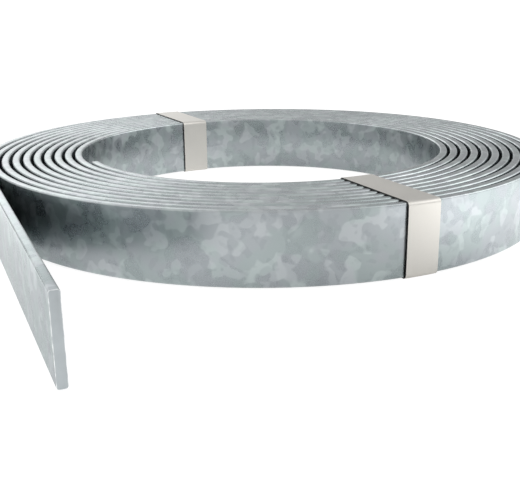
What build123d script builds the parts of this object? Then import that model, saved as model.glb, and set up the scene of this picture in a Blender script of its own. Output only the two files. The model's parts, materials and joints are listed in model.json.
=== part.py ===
from build123d import *
import math
import os

# A coil of galvanised flat steel strip, lying on its side edges, with two straps round its section.
# Millimetres. The coil's axis is Z, the straps' undersides lie on Z = 0, and the free tail runs to -Y.

# The strip
STRIP_WIDTH = 30.0
STRIP_THICKNESS = 3.5
EDGE_RADIUS = 0.8

# The winding, counter-clockwise seen from above, from the inside out
TURNS = 10
BORE_RADIUS = 88.3
TURN_GAP = 1.5

# Angles about the coil's axis, in degrees from +X
TAIL_ANGLE = 203.8
INNER_END_SETBACK = 2.7
FRONT_STRAP_ANGLE = -64.1
BACK_STRAP_ANGLE = 117.05

# The straight tail, from the point where it leaves the coil to its cut end
TAIL_LENGTH = 178.0

# The straps, with the inside radius of their bends
STRAP_WIDTH = 15.0
STRAP_THICKNESS = 0.5
STRAP_BEND = 1.3

# The rounded edge never takes more than this share of the strip's thickness
EDGE_SHARE = 0.45

pitch = STRIP_THICKNESS + TURN_GAP
edge_radius = min(EDGE_RADIUS, EDGE_SHARE * STRIP_THICKNESS)
strip_bottom = STRAP_THICKNESS

# Each turn is two half circles, tangent where they meet on the line through both centres and the axis.
# The tail leaves along that line's perpendicular, so the line lies at the tail's angle.
joint_line = Vector(1, 0).rotate(Axis.Z, TAIL_ANGLE)
first_half_centre = joint_line * (-pitch / 4)
second_half_centre = joint_line * (pitch / 4)


def half_turn_centre(half):
    """The centre of a half turn, counted from 0 at the inner end."""
    return second_half_centre if half % 2 else first_half_centre


def half_turn_radius(half):
    """The inner wall's radius in a half turn, about that half turn's own centre."""
    return BORE_RADIUS + pitch / 4 + half * pitch / 2


def half_turn_of(angle):
    """The innermost half turn that passes an angle about the coil's axis."""
    return 0 if (angle - TAIL_ANGLE) % 360 < 180 else 1


def wall_line(depth):
    """The plan of one wall of the strip: the half turns, then the tail. Depth 0 is the inner wall."""
    line = Curve()
    for half in range(2 * TURNS):
        setback = INNER_END_SETBACK if half == 0 else 0
        start_angle = TAIL_ANGLE + 180 * half + setback
        line += CenterArc(half_turn_centre(half), half_turn_radius(half) + depth, start_angle, 180 - setback)
    leaving_point = joint_line * (BORE_RADIUS + TURNS * pitch + depth)
    tail_direction = Vector(0, 1).rotate(Axis.Z, TAIL_ANGLE)
    line += Line(leaving_point, leaving_point + tail_direction * TAIL_LENGTH)
    return line


def steel_strip():
    """One length of strip: its plan raised to the strip's width, with the long edges rounded."""
    inner_wall = wall_line(0)
    outer_wall = wall_line(STRIP_THICKNESS)
    inner_end = Line(inner_wall.edges()[0] @ 0, outer_wall.edges()[0] @ 0)
    outer_end = Line(inner_wall.edges()[-1] @ 1, outer_wall.edges()[-1] @ 1)
    plan = make_face(inner_wall.edges() + outer_wall.edges() + [inner_end, outer_end])
    strip = extrude(Pos(0, 0, strip_bottom) * plan, STRIP_WIDTH, dir=(0, 0, 1))
    ends = [inner_end @ 0.5, outer_end @ 0.5]
    flat_edges = strip.edges().filter_by(Axis.Z, reverse=True)
    long_edges = [edge for edge in flat_edges if not is_end_edge(edge, ends)]
    return fillet(long_edges, edge_radius)


def is_end_edge(edge, ends):
    """True for the short edges across the strip's two cut ends."""
    middle = edge @ 0.5
    tolerance = STRIP_THICKNESS / 10
    return any(math.hypot(middle.X - end.X, middle.Y - end.Y) < tolerance for end in ends)


def strap(angle):
    """A flat band bent round all the turns, at an angle about the coil's axis."""
    half = half_turn_of(angle)
    inner_wall = half_turn_radius(half)
    outer_wall = half_turn_radius(half + 2 * (TURNS - 1)) + STRIP_THICKNESS
    # A bend starts where the strip's rounded edge does, so the upright runs stand off the walls
    stand_off = STRAP_BEND - edge_radius
    inside_length = outer_wall - inner_wall + 2 * stand_off
    middle_radius = (inner_wall + outer_wall) / 2
    section_plane = Plane((middle_radius, 0, strip_bottom + STRIP_WIDTH / 2), (1, 0, 0), (0, -1, 0))
    loop_length = inside_length + 2 * STRAP_THICKNESS
    loop_height = STRIP_WIDTH + 2 * STRAP_THICKNESS
    outside = RectangleRounded(loop_length, loop_height, STRAP_BEND + STRAP_THICKNESS)
    inside = RectangleRounded(inside_length, STRIP_WIDTH, STRAP_BEND)
    ring = revolve(section_plane * (outside - inside), Axis.Z, 360)
    # The slab cuts the ring to the strap's width, and stands clear of it outside, above and below
    slab_length = outer_wall + loop_length
    slab_height = 4 * loop_height
    slab = Pos(slab_length / 2, 0, 0) * Box(slab_length, STRAP_WIDTH, slab_height)
    return Pos(half_turn_centre(half)) * Rot(0, 0, angle) * (ring & slab)


pieces = {
    "steel_strip": steel_strip(),
    "front_strap": strap(FRONT_STRAP_ANGLE),
    "back_strap": strap(BACK_STRAP_ANGLE),
}

os.makedirs("parts", exist_ok=True)
for name, piece in pieces.items():
    export_step(piece, f"parts/{name}.step")
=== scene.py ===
"""Dresses the packed steel coil: the galvanised strip, its two straps and a white studio around them."""

import json
import math
from collections import namedtuple

import bmesh
import bpy
from bpy.props import FloatProperty, FloatVectorProperty, IntProperty, PointerProperty
from bpy.types import Operator, Panel, PropertyGroup
from mathutils import Matrix, Vector


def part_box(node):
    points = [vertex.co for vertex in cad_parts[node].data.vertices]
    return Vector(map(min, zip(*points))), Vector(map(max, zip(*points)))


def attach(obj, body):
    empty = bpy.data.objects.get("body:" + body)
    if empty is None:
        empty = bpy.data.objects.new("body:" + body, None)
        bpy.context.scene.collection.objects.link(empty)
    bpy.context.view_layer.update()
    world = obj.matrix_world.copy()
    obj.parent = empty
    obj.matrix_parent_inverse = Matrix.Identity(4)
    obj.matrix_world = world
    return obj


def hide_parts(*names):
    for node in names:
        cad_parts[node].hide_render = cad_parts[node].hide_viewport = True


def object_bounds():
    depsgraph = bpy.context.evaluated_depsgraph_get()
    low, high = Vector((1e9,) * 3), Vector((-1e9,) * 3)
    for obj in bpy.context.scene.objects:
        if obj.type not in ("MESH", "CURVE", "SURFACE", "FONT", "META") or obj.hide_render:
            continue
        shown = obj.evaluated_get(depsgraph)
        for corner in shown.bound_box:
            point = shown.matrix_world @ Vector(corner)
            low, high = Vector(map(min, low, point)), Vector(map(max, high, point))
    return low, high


bl_info = {
    "name": "Strapped strip coil",
    "version": (1, 0, 0),
    "blender": (4, 5, 0),
    "location": "3D View > Sidebar > Coil",
    "description": "Winds a galvanised steel strip over its packed frame, straps it and lights it",
    "category": "Object",
}

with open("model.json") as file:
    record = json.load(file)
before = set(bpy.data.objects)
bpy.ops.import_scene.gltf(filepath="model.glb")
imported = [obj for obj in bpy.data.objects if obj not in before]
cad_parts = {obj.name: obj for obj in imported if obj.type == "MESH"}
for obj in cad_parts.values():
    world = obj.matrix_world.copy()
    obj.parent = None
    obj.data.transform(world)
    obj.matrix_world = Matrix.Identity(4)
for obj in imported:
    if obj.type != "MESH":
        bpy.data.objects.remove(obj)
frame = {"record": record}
cad_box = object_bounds()
mounts = {mount["name"]: mount for mount in frame["record"]["mounts"]}

MILLIMETRE = 0.001
UP = Vector((0, 0, 1))
WHITE = (1, 1, 1, 1)
PHOTO_WIDTH_PX = 520
SENSOR_WIDTH_MM = 36.0


# Sizes and colours that a user would change


class StripSizes(PropertyGroup):
    """The strip's section and how it is wound"""

    thickness: FloatProperty(
        name="Thickness", description="Thickness of the flat strip",
        default=3.5 * MILLIMETRE, unit="LENGTH",
    )
    edge_radius: FloatProperty(
        name="Edge radius", description="Rounding of the strip's long edges",
        default=0.8 * MILLIMETRE, unit="LENGTH",
    )
    cut_bevel: FloatProperty(
        name="Cut bevel", description="Softened rim of the two cut ends",
        default=0.2 * MILLIMETRE, unit="LENGTH",
    )
    turns: IntProperty(name="Turns", description="Full turns from the inner end to the tail", default=10)
    setback: FloatProperty(
        name="Inner setback", description="How far past the tail's angle the inner end starts",
        default=math.radians(2.7), unit="ROTATION",
    )
    steps: IntProperty(name="Steps", description="Mesh steps in each half turn", default=72)
    round_steps: IntProperty(name="Edge steps", description="Mesh steps round each long edge", default=4)


class StrapSizes(PropertyGroup):
    """The flat bands that hold the turns together"""

    width: FloatProperty(
        name="Width", description="Width of a strap",
        default=15.0 * MILLIMETRE, unit="LENGTH",
    )
    bend: FloatProperty(
        name="Bend", description="Inside radius of a strap's bends",
        default=1.3 * MILLIMETRE, unit="LENGTH",
    )
    bow: FloatProperty(
        name="Bow", description="How far the upright runs bow out",
        default=0.1 * MILLIMETRE, unit="LENGTH",
    )
    rim: FloatProperty(
        name="Rim", description="Softened rim of a strap's slit edges",
        default=0.06 * MILLIMETRE, unit="LENGTH",
    )
    bend_steps: IntProperty(name="Bend steps", description="Mesh steps round each bend", default=8)
    run_steps: IntProperty(name="Run steps", description="Mesh steps up an upright run", default=12)
    width_steps: IntProperty(
        name="Width steps", description="Mesh steps across a strap before it is trimmed", default=10
    )


class ZincFinish(PropertyGroup):
    """The spangled zinc coat of the strip"""

    crystal: FloatProperty(
        name="Crystal", description="Usual width of a zinc crystal",
        default=7.0 * MILLIMETRE, unit="LENGTH",
    )
    dark: FloatVectorProperty(
        name="Dark zinc", description="The darkest crystals",
        default=(0.295, 0.325, 0.335), size=3, subtype="COLOR",
    )
    plain: FloatVectorProperty(
        name="Plain zinc", description="The usual crystals",
        default=(0.35, 0.385, 0.395), size=3, subtype="COLOR",
    )
    pale: FloatVectorProperty(
        name="Pale zinc", description="The lightest crystals",
        default=(0.47, 0.51, 0.515), size=3, subtype="COLOR",
    )
    cool_tint: FloatVectorProperty(
        name="Cool tint", description="Tint of the greener crystals",
        default=(0.97, 1.0, 0.985), size=3, subtype="COLOR",
    )
    mauve_tint: FloatVectorProperty(
        name="Mauve tint", description="Tint of the warmer crystals",
        default=(1.0, 0.98, 1.0), size=3, subtype="COLOR",
    )
    cut: FloatVectorProperty(
        name="Cut ends", description="The sheared ends",
        default=(0.43, 0.465, 0.48), size=3, subtype="COLOR",
    )
    # Painted highlight: a bright zinc colour mixed onto the rim of the cut ends and the rounded long edges,
    # standing in for the light they catch
    rim: FloatVectorProperty(
        name="Rubbed zinc", description="The rim of the sheared ends and the rub on the long edges",
        default=(0.84, 0.86, 0.86), size=3, subtype="COLOR",
    )
    roughness: FloatProperty(
        name="Roughness", description="Usual roughness of the coat", default=0.3, subtype="FACTOR"
    )


class StrapFinish(PropertyGroup):
    """The satin metal of the straps"""

    metal: FloatVectorProperty(
        name="Metal", description="The straps' warm grey",
        default=(0.595, 0.58, 0.545), size=3, subtype="COLOR",
    )
    # Painted shade: the slit edges are near-black, standing in for the shadow beside each strap
    slit_painted_shade: FloatVectorProperty(
        name="Slit edge", description="The dark slit edges",
        default=(0.012, 0.012, 0.012), size=3, subtype="COLOR",
    )


class Studio(PropertyGroup):
    """Camera, lamps and floor"""

    camera_place: FloatVectorProperty(
        name="Camera place", description="Where the camera stands",
        default=(0.0016, -0.42889, 0.106812), size=3, subtype="TRANSLATION", unit="LENGTH",
    )
    camera_yaw: FloatProperty(
        name="Yaw", description="Camera's turn from +Y towards +X", default=-0.009317, unit="ROTATION"
    )
    camera_pitch: FloatProperty(
        name="Pitch", description="How far the camera looks down", default=0.303033, unit="ROTATION"
    )
    camera_roll: FloatProperty(name="Roll", description="Camera's roll", default=0.010537, unit="ROTATION")
    focal_px: FloatProperty(
        name="Focal length", description="In pixels of the picture", default=823.965, subtype="PIXEL"
    )
    room: FloatProperty(name="Room", description="The room's light on the coil", default=0.85)
    floor_glow: FloatProperty(name="Floor glow", description="The floor's own light in gloss", default=0.31)
    floor_radius: FloatProperty(
        name="Floor radius", description="Radius of the white floor", default=30.0, unit="LENGTH"
    )


# Numbers of the shapes

# Faces that meet at a wider angle than this have a hard edge between them
SHARP_ANGLE = math.radians(25)
# A corner past this share of the edge radius already lies on a flat
ROUNDED_SHARE = 0.99
# Mesh steps across the rim of a cut end
CUT_STEPS = 2
# A strap is swept over this many of its widths and then trimmed
SWEPT_WIDTHS = 2
# How square the bow of a strap's upright run is: 2 would be a parabola
BOW_POWER = 4
# A strap's faces that point this squarely sideways are its slit edges
SLIT_FACING = 0.9
FLOOR_SEGMENTS = 64

# Numbers of the finishes

Noise = namedtuple("Noise", "scale detail")
Level = namedtuple("Level", "middle rim")
Spread = namedtuple("Spread", "least more")
Relief = namedtuple("Relief", "strength depth")
NOISE_MIDDLE = 0.5

# Three kinds of zinc crystal, as shares of the usual width, and how their outlines wander
LOBE_SHARES = (1.6, 1.1, 0.6)
LOBE_DETAIL = 1.5
LOBE_DISTORTION = 0.3

# Where each mark of the zinc begins in its noise, and how soft its outline is
BROAD_LEVEL = Level(0.49, 0.025)
RING_LEVEL = Level(0.53, 0.025)
HEART_LEVEL = Level(0.69, 0.02)
SPECK_LEVEL = Level(0.58, 0.03)
TINT_LEVEL = Level(0.5, 0.08)
HEART_SHARE = 0.8

# What each mark does to the zinc's tone, and the tones of the plain and the pale colour
BASE_TONE = 0.29
BROAD_TONE = 0.22
RING_TONE = 0.36
SPECK_TONE = 0.13
CLOUD_TONE = 0.35
PLAIN_TONE = 0.42
PALE_TONE = 0.95

# What each mark does to the zinc's roughness and relief, and how strongly the long edges get a painted
# highlight
CRYSTAL_DULLNESS = 0.04
GRAIN_DULLNESS = 0.05
MEAN_DULLNESS = 0.03
SPECK_RELIEF = 0.3
GRAIN_RELIEF = 0.7
EDGE_HIGHLIGHT = 0.2

# Noises that are counted in waves to a crystal, then those in waves to a metre
CLOUD = Noise(0.3, 2.0)
DRIFT = Noise(0.7, 1.0)
GRAIN = Noise(900.0, 2.0)
SHEAR_CLOUD = Noise(260.0, 2.0)
# Patches of the painted highlight on the cut ends' rim
RIM_HIGHLIGHT_PATCHES = Noise(400.0, 2.0)
STRAP_CLOUD = Noise(140.0, 4.0)
STRAP_RUB = Noise(900.0, 3.0)
SLIT_SPECKS = Noise(1500.0, 2.0)

# The shear's lines run up the cut ends, so they are fine across and long upwards
SHEAR_STRETCH = (2600.0, 2600.0, 90.0)
SHEAR_LINES = Noise(1.0, 2.0)
SHEAR_DULL = 0.88
SHEAR_LIGHT = 1.1
# Where the painted highlight on the cut ends' rim begins in its noise
RIM_HIGHLIGHT_LEVEL = Level(0.45, 0.2)
STRAP_DULL = 0.95
STRAP_LIGHT = 1.05
STRAP_CLOUD_SHARE = 0.7
STRAP_RUB_SHARE = 0.3
SLIT_LIGHT = 2.0

SHEAR_ROUGHNESS = Spread(0.32, 0.2)
RIM_ROUGHNESS = Spread(0.25, 0.2)
STRAP_ROUGHNESS = Spread(0.34, 0.16)
SLIT_ROUGHNESS = Spread(0.5, 0.2)
ZINC_RELIEF = Relief(0.06, 0.0002)
SHEAR_RELIEF = Relief(0.1, 0.0001)
STRAP_RELIEF = Relief(0.08, 0.0001)

# Numbers of the studio

Lamp = namedtuple("Lamp", "name azimuth elevation distance width height power")
Zone = namedtuple("Zone", "azimuth elevation spread")
RoomSide = namedtuple("RoomSide", "zone more")
FloorSide = namedtuple("FloorSide", "zone near far")

# Azimuths count from +Y towards +X, in degrees, the lengths are in metres and the power is in watts
LAMPS = (
    Lamp("right", 75, 25, 1.0, 0.8, 0.4, 1.2),
    Lamp("left", -85, 40, 1.0, 0.5, 0.4, 0.8),
)

# What the room gains or loses in gloss at the back left, back right, low right and high right
ROOM_SIDES = (
    RoomSide(Zone(-22, 25, 20), 1.45),
    RoomSide(Zone(20, 15, 28), -0.3),
    RoomSide(Zone(70, 12, 20), 0.8),
    RoomSide(Zone(97, 38, 30), 1.2),
)

# What the floor's glow gains in gloss on some sides: at the coil, and what is added to that further off
FLOOR_SIDES = (
    FloorSide(Zone(112, 0, 40), 0.53, 0.75),
    FloorSide(Zone(-80, 0, 55), 0.0, 1.1),
    FloorSide(Zone(-145, 0, 45), 0.2, 0.0),
    FloorSide(Zone(-38, 0, 36), 0.3, -0.3),
)

# How far from the coil's axis the floor counts as further off, in metres
FAR_LEVEL = Level(0.2, 0.07)
# The floor's own light where it is seen, its grey as it lights the coil, and its grey where it is seen
SEEN_GLOW = 0.88
FLOOR_GREY = (0.8, 0.8, 0.8)
SEEN_GREY = (0.3, 0.3, 0.3)


# Node-based finishes


class Reading:
    """A value on its way through a finish: arithmetic on it adds Math nodes."""

    def __init__(self, finish, socket):
        self.finish = finish
        self.socket = socket

    def math(self, operation, first, second):
        """Adds one Math node."""
        return self.finish.node("ShaderNodeMath", {"operation": operation}, {0: first, 1: second})

    def __add__(self, other):
        return self.math("ADD", self, other)

    def __radd__(self, other):
        return self.math("ADD", other, self)

    def __sub__(self, other):
        return self.math("SUBTRACT", self, other)

    def __rsub__(self, other):
        return self.math("SUBTRACT", other, self)

    def __mul__(self, other):
        return self.math("MULTIPLY", self, other)

    def __rmul__(self, other):
        return self.math("MULTIPLY", other, self)


class Finish:
    """A node tree that is written as expressions."""

    def __init__(self, tree):
        self.tree = tree
        self.tree.nodes.clear()

    def node(self, kind, settings=None, inputs=None, output=0):
        """Adds a node: its settings first, then the values or links of its sockets."""
        node = self.tree.nodes.new(kind)
        for name, value in (settings or {}).items():
            if name == "stops":
                set_stops(node.color_ramp, value)
            else:
                setattr(node, name, value)
        for name, value in (inputs or {}).items():
            if isinstance(value, Reading):
                self.tree.links.new(value.socket, node.inputs[name])
            else:
                node.inputs[name].default_value = value
        return Reading(self, node.outputs[output]) if len(node.outputs) else None

    def mix(self, factor, first, second):
        """A colour between two colours."""
        settings = {"data_type": "RGBA", "clamp_factor": True}
        return self.node("ShaderNodeMix", settings, {0: factor, 6: first, 7: second}, output=2)

    def tinted(self, colour, tint):
        """A colour times a tint."""
        settings = {"data_type": "RGBA", "blend_type": "MULTIPLY"}
        return self.node("ShaderNodeMix", settings, {0: 1.0, 6: colour, 7: tint}, output=2)

    def attribute(self, name, output):
        """What the mesh says of itself at a point."""
        return self.node("ShaderNodeAttribute", {"attribute_name": name}, output=output)

    def place(self):
        """A point's place in the shared frame."""
        return self.node("ShaderNodeTexCoord", output="Object")

    def noise(self, place, scale, detail):
        """Soft uneven values about a half."""
        return self.node("ShaderNodeTexNoise", {}, {"Vector": place, "Scale": scale, "Detail": detail})

    def smooth_rise(self, value, low, high):
        """0 up to a low value, 1 from a high one, and a soft rise between."""
        sockets = {"Value": value, "From Min": low, "From Max": high, "To Min": 0.0, "To Max": 1.0}
        return self.node("ShaderNodeMapRange", {"interpolation_type": "SMOOTHSTEP"}, sockets)

    def soft_step(self, value, level):
        """0 below a level and 1 above it, with a soft rim between."""
        return self.smooth_rise(value, level.middle - level.rim, level.middle + level.rim)

    def bump(self, height, relief):
        """Normals that follow a height."""
        sockets = {"Strength": relief.strength, "Distance": relief.depth, "Height": height}
        return self.node("ShaderNodeBump", {}, sockets)

    def end_in(self, sockets):
        """Ends a material in one surface shader."""
        shader = self.node("ShaderNodeBsdfPrincipled", {}, sockets)
        self.node("ShaderNodeOutputMaterial", {}, {"Surface": shader})


def set_stops(ramp, stops):
    """Gives a colour ramp its stops, each a place and a colour."""
    while len(ramp.elements) < len(stops):
        ramp.elements.new(1.0)
    for element, (place, colour) in zip(ramp.elements, stops):
        element.position = place
        element.color = colour


def rgba(colour, share=1.0):
    """An opaque colour for a socket, made lighter or darker by a share."""
    return (colour[0] * share, colour[1] * share, colour[2] * share, 1.0)


def spread_over(reading, spread):
    """A value that runs up from its least with a reading."""
    return reading * spread.more + spread.least


def new_finish(name):
    """An empty material and the finish that writes its nodes."""
    material = bpy.data.materials.new(name)
    material.use_nodes = True
    return material, Finish(material.node_tree)


def zinc_lobes(finish, place, size, seed):
    """A smooth uneven height whose contours are rounded lobes of one size."""
    sockets = {"Vector": place, "W": seed, "Scale": 1 / size}
    wander = {"Detail": LOBE_DETAIL, "Distortion": LOBE_DISTORTION}
    return finish.node("ShaderNodeTexNoise", {"noise_dimensions": "4D"}, {**sockets, **wander})


def galvanised_steel(zinc):
    """Hot-dip zinc: broad rounded crystals, pale rings with plain hearts over them, and small dark specks."""
    material, finish = new_finish("galvanised_zinc")
    place = finish.attribute("strip_place", "Vector")
    large, middle, small = [zinc_lobes(finish, place, zinc.crystal * share, share) for share in LOBE_SHARES]
    broad = finish.soft_step(large, BROAD_LEVEL)
    rings = finish.soft_step(middle, RING_LEVEL) - finish.soft_step(middle, HEART_LEVEL) * HEART_SHARE
    specks = finish.soft_step(small, SPECK_LEVEL)
    cloud = finish.noise(place, CLOUD.scale / zinc.crystal, CLOUD.detail)
    marks = broad * BROAD_TONE + rings * RING_TONE - specks * SPECK_TONE
    tone = marks + (cloud - NOISE_MIDDLE) * CLOUD_TONE + BASE_TONE
    stops = [(0.0, rgba(zinc.dark)), (PLAIN_TONE, rgba(zinc.plain)), (PALE_TONE, rgba(zinc.pale))]
    grey = finish.node("ShaderNodeValToRGB", {"stops": stops}, {0: tone})
    drift = finish.noise(place, DRIFT.scale / zinc.crystal, DRIFT.detail)
    tint = finish.mix(finish.soft_step(drift, TINT_LEVEL), rgba(zinc.cool_tint), rgba(zinc.mauve_tint))
    # Painted highlight: the rounded long edges are mixed in patches toward the bright rim colour
    rub = finish.attribute("edge_rub", "Fac")
    colour = finish.mix(rub * cloud * EDGE_HIGHLIGHT, finish.tinted(grey, tint), rgba(zinc.rim))
    grain = finish.noise(place, *GRAIN)
    uneven = broad * CRYSTAL_DULLNESS + rings * CRYSTAL_DULLNESS + (grain - NOISE_MIDDLE) * GRAIN_DULLNESS
    roughness = uneven + (zinc.roughness - MEAN_DULLNESS)
    bump = finish.bump(specks * SPECK_RELIEF + grain * GRAIN_RELIEF, ZINC_RELIEF)
    finish.end_in({"Base Color": colour, "Metallic": 1.0, "Roughness": roughness, "Normal": bump})
    return material


def sheared_end(zinc):
    """The cut ends: zinc again, with the fine upright lines of the shear."""
    material, finish = new_finish("sheared_end")
    place = finish.place()
    fine = finish.node("ShaderNodeMapping", {}, {"Vector": place, "Scale": SHEAR_STRETCH})
    lines = finish.noise(fine, *SHEAR_LINES)
    cloud = finish.noise(place, *SHEAR_CLOUD)
    colour = finish.mix(cloud, rgba(zinc.cut, SHEAR_DULL), rgba(zinc.cut, SHEAR_LIGHT))
    roughness = spread_over(cloud, SHEAR_ROUGHNESS)
    bump = finish.bump(lines, SHEAR_RELIEF)
    finish.end_in({"Base Color": colour, "Metallic": 1.0, "Roughness": roughness, "Normal": bump})
    return material


def painted_highlight_rim(zinc):
    """The rim of the cut ends, with a painted highlight mixed in in patches."""
    material, finish = new_finish("painted_highlight_rim")
    rub = finish.noise(finish.place(), *RIM_HIGHLIGHT_PATCHES)
    colour = finish.mix(finish.soft_step(rub, RIM_HIGHLIGHT_LEVEL), rgba(zinc.cut), rgba(zinc.rim))
    finish.end_in({"Base Color": colour, "Metallic": 1.0, "Roughness": spread_over(rub, RIM_ROUGHNESS)})
    return material


def strap_metal(band):
    """Satin metal of the straps, faintly uneven and rubbed in places."""
    material, finish = new_finish("strap_metal")
    place = finish.place()
    cloud = finish.noise(place, *STRAP_CLOUD)
    rub = finish.noise(place, *STRAP_RUB)
    uneven = cloud * STRAP_CLOUD_SHARE + rub * STRAP_RUB_SHARE
    colour = finish.mix(uneven, rgba(band.metal, STRAP_DULL), rgba(band.metal, STRAP_LIGHT))
    roughness = spread_over(cloud, STRAP_ROUGHNESS)
    bump = finish.bump(rub, STRAP_RELIEF)
    finish.end_in({"Base Color": colour, "Metallic": 1.0, "Roughness": roughness, "Normal": bump})
    return material


def slit_painted_shade(band):
    """The straps' slit edges, painted near-black as the shade beside each strap."""
    material, finish = new_finish("strap_slit_edge")
    specks = finish.noise(finish.place(), *SLIT_SPECKS)
    colour = finish.mix(specks, rgba(band.slit_painted_shade), rgba(band.slit_painted_shade, SLIT_LIGHT))
    finish.end_in({"Base Color": colour, "Roughness": spread_over(specks, SLIT_ROUGHNESS)})
    return material


def ray_kinds(finish):
    """Two readings: 1 for a ray from the camera or through glass, and 1 for one off gloss."""
    kinds = ("Is Camera Ray", "Is Transmission Ray", "Is Glossy Ray")
    camera, through, glossy = [finish.node("ShaderNodeLightPath", output=kind) for kind in kinds]
    return camera.math("MAXIMUM", camera, through), glossy


def white_floor(studio):
    """A white floor that keeps the coil's shadow: faint where it is seen, deeper in the metal."""
    material, finish = new_finish("white_floor")
    direct, glossy = ray_kinds(finish)
    place = finish.place()
    heading = finish.node("ShaderNodeVectorMath", {"operation": "NORMALIZE"}, {0: place}, output="Vector")
    reach = finish.node("ShaderNodeVectorMath", {"operation": "LENGTH"}, {0: place}, output="Value")
    away = finish.soft_step(reach, FAR_LEVEL)
    sides = [in_zone(finish, heading, side.zone) * (away * side.far + side.near) for side in FLOOR_SIDES]
    strength = direct * SEEN_GLOW + glossy * (sum(sides) + studio.floor_glow)
    glow = finish.node("ShaderNodeEmission", {}, {"Color": WHITE, "Strength": strength})
    lit = finish.node("ShaderNodeBsdfDiffuse", {}, {"Color": rgba(FLOOR_GREY)})
    faint = finish.node("ShaderNodeBsdfDiffuse", {}, {"Color": rgba(SEEN_GREY)})
    shaded = finish.node("ShaderNodeMixShader", {}, {0: direct, 1: lit, 2: faint})
    floor = finish.node("ShaderNodeAddShader", {}, {0: glow, 1: shaded})
    finish.node("ShaderNodeOutputMaterial", {}, {"Surface": floor})
    return material


def in_zone(finish, toward, zone):
    """1 for a direction at the middle of a zone and 0 for one outside it."""
    sockets = {0: toward, 1: bearing(zone.azimuth, zone.elevation)}
    nearness = finish.node("ShaderNodeVectorMath", {"operation": "DOT_PRODUCT"}, sockets, output="Value")
    return finish.smooth_rise(nearness, math.cos(math.radians(zone.spread)), 1.0)


def bearing(azimuth, elevation):
    """A unit vector, from degrees round from +Y towards +X and degrees up."""
    level = math.cos(math.radians(elevation))
    return Vector((
        math.sin(math.radians(azimuth)) * level,
        math.cos(math.radians(azimuth)) * level,
        math.sin(math.radians(elevation)),
    ))


# Where the strip lies


def direction(angle):
    """A level unit vector, at an angle from +X."""
    return Vector((math.cos(angle), math.sin(angle), 0))


class Winding:
    """The strip's path: half turns about two centres in turn, then the straight tail."""

    def __init__(self, strip):
        tail = mounts["tail_face"]
        low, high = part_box("steel_strip")
        self.bottom = low.z
        self.top = high.z
        self.thickness = strip.thickness
        self.turns = strip.turns
        self.setback = strip.setback
        self.joint_line = Vector(tail["axis"])
        self.joint_angle = math.atan2(self.joint_line.y, self.joint_line.x)
        self.tail_direction = UP.cross(self.joint_line)
        self.bore = mounts["coil_eye"]["dims"]["r_mm"] * MILLIMETRE
        self.leaving = Vector(tail["pos_m"]).dot(self.joint_line) - self.thickness
        self.tail_length = 2 * Vector(tail["pos_m"]).dot(self.tail_direction)
        self.pitch = (self.leaving - self.bore) / self.turns

    def centre(self, half):
        """The centre of a half turn, counted from 0 at the inner end."""
        return self.joint_line * (self.pitch / 4 if half % 2 else -self.pitch / 4)

    def radius(self, half):
        """The inner wall's radius about that centre."""
        return self.bore + self.pitch / 4 + half * self.pitch / 2

    def half_at(self, angle):
        """The innermost half turn that passes an angle."""
        return int((angle - self.joint_angle) % math.tau >= math.pi)

    def length_before(self, half):
        """How much strip comes before a half turn, along its middle."""
        first = self.radius(0) + self.thickness / 2
        return math.pi * (half * first + self.pitch * half * (half - 1) / 4)

    def unrolled(self, point):
        """A point's place on the straightened strip: along it, through it and across it."""
        flat = Vector((point.x, point.y, 0))
        across = flat.dot(self.joint_line)
        ahead = flat.dot(self.tail_direction)
        gap = self.pitch - self.thickness
        if ahead > 0 and across > self.leaving - gap / 2:
            along = self.length_before(2 * self.turns) + ahead
            return Vector((along, across - self.leaving, point.z))
        odd = int(math.atan2(ahead, across) % math.tau >= math.pi)
        arm = flat - self.centre(odd)
        rise = arm.length - self.radius(odd)
        turn = math.floor((rise + gap / 2) / self.pitch)
        half = 2 * turn + odd
        heading = math.atan2(arm.dot(self.tail_direction), arm.dot(self.joint_line))
        swept = heading % math.tau - odd * math.pi
        along = self.length_before(half) + swept * (self.radius(half) + self.thickness / 2)
        return Vector((along, rise - turn * self.pitch, point.z))

    def is_on_edge(self, place, radius):
        """True for a place on the strip's rounded long edges, between the flats that they join."""
        depth = min(place.y, self.thickness - place.y)
        height = min(place.z - self.bottom, self.top - place.z)
        return max(depth, height) < ROUNDED_SHARE * radius


# Shapes


def upright_section(shape, near, far, winding, radius, steps):
    """A section with rounded corners, as high as the strip, between two points. Returns its face."""
    low = UP * winding.bottom
    high = UP * winding.top
    corners = [near + low, far + low, far + high, near + high]
    face = shape.faces.new([shape.verts.new(corner) for corner in corners])
    bmesh.ops.bevel(
        shape, geom=face.verts[:], offset=radius, offset_type="OFFSET", segments=steps, profile=0.5,
        affect="VERTICES", material=-1,
    )
    shape.faces.ensure_lookup_table()
    return shape.faces[0]


def ring_of(face):
    """The edges and corners round a face."""
    return face.edges[:] + face.verts[:]


def spin_on(shape, ring, centre, angle, steps):
    """Carries a ring round a centre and returns the ring that it ends on."""
    spun = bmesh.ops.spin(
        shape, geom=ring, cent=centre, axis=UP, angle=angle, steps=steps, use_merge=False, use_duplicate=False
    )
    return [part for part in spun["geom_last"] if not isinstance(part, bmesh.types.BMFace)]


def edges_in(parts):
    """The edges among some parts of a shape."""
    return [part for part in parts if isinstance(part, bmesh.types.BMEdge)]


def bevel_edges(shape, edges, width, steps):
    """Softens edges and returns the new faces."""
    bevelled = bmesh.ops.bevel(
        shape, geom=edges, offset=width, offset_type="OFFSET", segments=steps, profile=0.5,
        affect="EDGES", material=-1,
    )
    return bevelled["faces"]


def add_object(name, data):
    """Puts a mesh, a lamp or a camera into the scene."""
    thing = bpy.data.objects.new(name, data)
    bpy.context.scene.collection.objects.link(thing)
    return thing


def mesh_of(shape, name):
    """Turns a finished shape into a mesh."""
    mesh = bpy.data.meshes.new(name)
    shape.to_mesh(mesh)
    shape.free()
    return mesh


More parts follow.
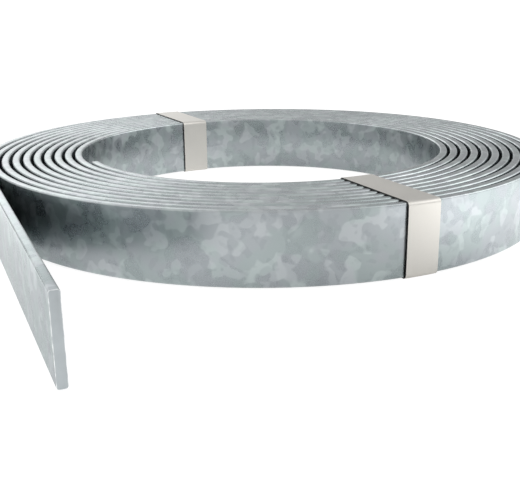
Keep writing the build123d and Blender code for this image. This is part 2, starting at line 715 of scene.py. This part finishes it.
def add_piece(shape, name, finishes, node):
    """Makes a finished shape a piece of the coil that stands for its solid."""
    bmesh.ops.recalc_face_normals(shape, faces=shape.faces[:])
    for face in shape.faces:
        face.smooth = True
    mesh = mesh_of(shape, name)
    mesh.set_sharp_from_angle(angle=SHARP_ANGLE)
    for finish in finishes:
        mesh.materials.append(finish)
    piece = add_object(name, mesh)
    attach(piece, "root")
    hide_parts(node)


def wound_strip(strip, winding):
    """The whole strip: its section spun through every half turn, then drawn out straight as the tail."""
    shape = bmesh.new()
    place = shape.verts.layers.float_vector.new("strip_place")
    rub = shape.verts.layers.float.new("edge_rub")
    outward = direction(winding.joint_angle + winding.setback)
    near = winding.centre(0) + outward * winding.radius(0)
    far = near + outward * winding.thickness
    inner_end = upright_section(shape, near, far, winding, strip.edge_radius, strip.round_steps)
    ring = ring_of(inner_end)
    for half in range(2 * winding.turns):
        sweep = math.pi - (winding.setback if half == 0 else 0)
        ring = spin_on(shape, ring, winding.centre(half), sweep, strip.steps)
    drawn = bmesh.ops.extrude_edge_only(shape, edges=edges_in(ring))["geom"]
    tail_ring = [part for part in drawn if isinstance(part, bmesh.types.BMVert)]
    bmesh.ops.translate(shape, verts=tail_ring, vec=winding.tail_direction * winding.tail_length)
    rim = [edge for edge in edges_in(drawn) if all(corner in tail_ring for corner in edge.verts)]
    cut_end = bmesh.ops.contextual_create(shape, geom=rim)["faces"][0]
    for end in (inner_end, cut_end):
        end.material_index = 1
    cut_edges = inner_end.edges[:] + cut_end.edges[:]
    # The rim of the cut ends takes the material with the painted highlight
    for face in bevel_edges(shape, cut_edges, strip.cut_bevel, CUT_STEPS):
        face.material_index = 2
    # Marks the rounded long edges, which get a painted highlight in the zinc
    for corner in shape.verts:
        corner[place] = winding.unrolled(corner.co)
        corner[rub] = winding.is_on_edge(corner[place], strip.edge_radius)
    return shape


def bow_out(shape, loop, straps, outward):
    """Cuts the uprights of a strap's loop into short runs and bows them out. Returns the loop's new face."""
    # The uprights are the only edges that climb further than a whole bend could
    tallest_bend = 2 * straps.bend
    uprights = [edge for edge in loop.edges if abs(edge.verts[0].co.z - edge.verts[1].co.z) > tallest_bend]
    bmesh.ops.bisect_edges(shape, edges=uprights, cuts=straps.run_steps - 1)
    heights = [corner.co.z for corner in shape.verts]
    reaches = [corner.co.dot(outward) for corner in shape.verts]
    mid_height = (min(heights) + max(heights)) / 2
    half_height = (max(heights) - min(heights)) / 2
    mid_reach = (min(reaches) + max(reaches)) / 2
    for corner, reach in zip(shape.verts, reaches):
        rise = (corner.co.z - mid_height) / half_height
        side = 1 if reach > mid_reach else -1
        corner.co += outward * side * straps.bow * (1 - rise ** BOW_POWER)
    shape.faces.ensure_lookup_table()
    return shape.faces[0]


def bent_strap(straps, strip, winding, foot):
    """A flat band bent round all the turns: spun a little way, trimmed to its width and thickened."""
    half = winding.half_at(math.atan2(foot.y, foot.x))
    centre = winding.centre(half)
    angle = math.atan2(foot.y - centre.y, foot.x - centre.x)
    thickness = winding.bottom
    stand_off = straps.bend - strip.edge_radius
    inner = winding.radius(half) - stand_off
    outer = winding.radius(half + 2 * (winding.turns - 1)) + winding.thickness + stand_off
    span = SWEPT_WIDTHS * straps.width / inner
    start = direction(angle - span / 2)
    shape = bmesh.new()
    near = centre + start * inner
    far = centre + start * outer
    loop = upright_section(shape, near, far, winding, straps.bend, straps.bend_steps)
    loop = bow_out(shape, loop, straps, start)
    ring = ring_of(loop)
    bmesh.ops.delete(shape, geom=[loop], context="FACES_ONLY")
    spin_on(shape, ring, centre, span, straps.width_steps)
    across = direction(angle + math.pi / 2)
    for side in (1, -1):
        bmesh.ops.bisect_plane(
            shape, geom=shape.verts[:] + shape.edges[:] + shape.faces[:],
            plane_co=centre + across * side * straps.width / 2, plane_no=across * side, clear_outer=True,
        )
    bmesh.ops.recalc_face_normals(shape, faces=shape.faces[:])
    bmesh.ops.solidify(shape, geom=shape.faces[:], thickness=-thickness)
    bmesh.ops.recalc_face_normals(shape, faces=shape.faces[:])
    slit = [face for face in shape.faces if abs(face.normal.dot(across)) > SLIT_FACING]
    # The slit edges take the near-black material that is painted shade
    for face in slit:
        face.material_index = 1
    rims = {edge for face in slit for edge in face.edges if any(side not in slit for side in edge.link_faces)}
    bevel_edges(shape, list(rims), straps.rim, 1)
    return shape


# Operators


class COIL_OT_wind_strip(Operator):
    """Wind the galvanised strip"""

    bl_idname = "coil.wind_strip"
    bl_label = "Wind strip"

    def execute(self, context):
        scene = context.scene
        winding = Winding(scene.coil_strip)
        shape = wound_strip(scene.coil_strip, winding)
        zinc = scene.coil_zinc
        finishes = [galvanised_steel(zinc), sheared_end(zinc), painted_highlight_rim(zinc)]
        add_piece(shape, "wound_strip", finishes, "steel_strip")
        return {"FINISHED"}


class COIL_OT_bend_straps(Operator):
    """Bend both straps round the turns"""

    bl_idname = "coil.bend_straps"
    bl_label = "Bend straps"

    def execute(self, context):
        scene = context.scene
        winding = Winding(scene.coil_strip)
        finishes = [strap_metal(scene.coil_band), slit_painted_shade(scene.coil_band)]
        for side in ("front", "back"):
            foot = Vector(mounts[f"{side}_rest"]["pos_m"])
            shape = bent_strap(scene.coil_straps, scene.coil_strip, winding, foot)
            add_piece(shape, f"{side}_band", finishes, f"{side}_strap")
        return {"FINISHED"}


class COIL_OT_set_studio(Operator):
    """Set the floor, the lamps and the camera"""

    bl_idname = "coil.set_studio"
    bl_label = "Set studio"

    def execute(self, context):
        studio = context.scene.coil_studio
        self.lay_floor(studio)
        self.light_room(context.scene, studio)
        self.aim_camera(context.scene, studio)
        context.scene.view_settings.view_transform = "Standard"
        return {"FINISHED"}

    def lay_floor(self, studio):
        """A round white floor under the coil."""
        shape = bmesh.new()
        bmesh.ops.create_circle(shape, cap_ends=True, radius=studio.floor_radius, segments=FLOOR_SEGMENTS)
        mesh = mesh_of(shape, "floor")
        mesh.materials.append(white_floor(studio))
        floor = add_object("floor", mesh)

    def light_room(self, scene, studio):
        """A white room that is brighter on some sides in gloss, and the lamps."""
        world = bpy.data.worlds.new("white_room")
        world.use_nodes = True
        scene.world = world
        room = Finish(world.node_tree)
        direct, glossy = ray_kinds(room)
        toward = room.node("ShaderNodeTexCoord", output="Generated")
        sides = [in_zone(room, toward, side.zone) * side.more for side in ROOM_SIDES]
        strength = direct * (1 - studio.room) + glossy * sum(sides) + studio.room
        white = room.node("ShaderNodeBackground", {}, {"Color": WHITE, "Strength": strength})
        room.node("ShaderNodeOutputWorld", {}, {"Surface": white})
        low, high = cad_box
        middle = Vector((0, 0, (low[2] + high[2]) / 2))
        for lamp in LAMPS:
            self.hang_lamp(lamp, middle)

    def hang_lamp(self, lamp, target):
        """A rectangular soft lamp that faces a point."""
        light = bpy.data.lights.new(lamp.name, "AREA")
        light.shape = "RECTANGLE"
        light.size = lamp.width
        light.size_y = lamp.height
        light.energy = lamp.power
        place = target + bearing(lamp.azimuth, lamp.elevation) * lamp.distance
        stand = add_object(lamp.name, light)
        stand.location = place
        stand.rotation_euler = (target - place).to_track_quat("-Z", "Y").to_euler()
        stand.visible_camera = False

    def aim_camera(self, scene, studio):
        """The camera that the picture was taken with, as fitted to the coil's edges."""
        yaw, pitch, roll = studio.camera_yaw, studio.camera_pitch, studio.camera_roll
        forward = Vector((math.sin(yaw) * math.cos(pitch), math.cos(yaw) * math.cos(pitch), -math.sin(pitch)))
        level = Vector((math.cos(yaw), -math.sin(yaw), 0))
        down = forward.cross(level)
        right = level * math.cos(roll) + down * math.sin(roll)
        below = down * math.cos(roll) - level * math.sin(roll)
        data = bpy.data.cameras.new("camera")
        data.sensor_fit = "HORIZONTAL"
        data.sensor_width = SENSOR_WIDTH_MM
        data.lens = studio.focal_px * SENSOR_WIDTH_MM / PHOTO_WIDTH_PX
        data.clip_start = MILLIMETRE
        camera = add_object("camera", data)
        turned = Matrix((right, -below, -forward)).transposed().to_4x4()
        camera.matrix_world = Matrix.Translation(studio.camera_place) @ turned
        scene.camera = camera


GROUPS = {
    "coil_strip": StripSizes,
    "coil_straps": StrapSizes,
    "coil_zinc": ZincFinish,
    "coil_band": StrapFinish,
    "coil_studio": Studio,
}
OPERATORS = (COIL_OT_wind_strip, COIL_OT_bend_straps, COIL_OT_set_studio)


class COIL_PT_sidebar(Panel):
    """Lists the coil's sizes, colours and steps"""

    bl_idname = "COIL_PT_sidebar"
    bl_label = "Strip coil"
    bl_space_type = "VIEW_3D"
    bl_region_type = "UI"
    bl_category = "Coil"

    def draw(self, context):
        for group_name, group in GROUPS.items():
            box = self.layout.box()
            box.label(text=group.__doc__)
            for name in group.__annotations__:
                box.prop(getattr(context.scene, group_name), name)
        for operator in OPERATORS:
            self.layout.operator(operator.bl_idname)


def register():
    for group_name, group in GROUPS.items():
        bpy.utils.register_class(group)
        setattr(bpy.types.Scene, group_name, PointerProperty(type=group))
    for shown in OPERATORS + (COIL_PT_sidebar,):
        bpy.utils.register_class(shown)


def unregister():
    for shown in (COIL_PT_sidebar,) + OPERATORS[::-1]:
        bpy.utils.unregister_class(shown)
    for group_name, group in reversed(GROUPS.items()):
        delattr(bpy.types.Scene, group_name)
        bpy.utils.unregister_class(group)


def main():
    register()
    bpy.ops.coil.wind_strip()
    bpy.ops.coil.bend_straps()
    bpy.ops.coil.set_studio()


if __name__ == "__main__":
    main()
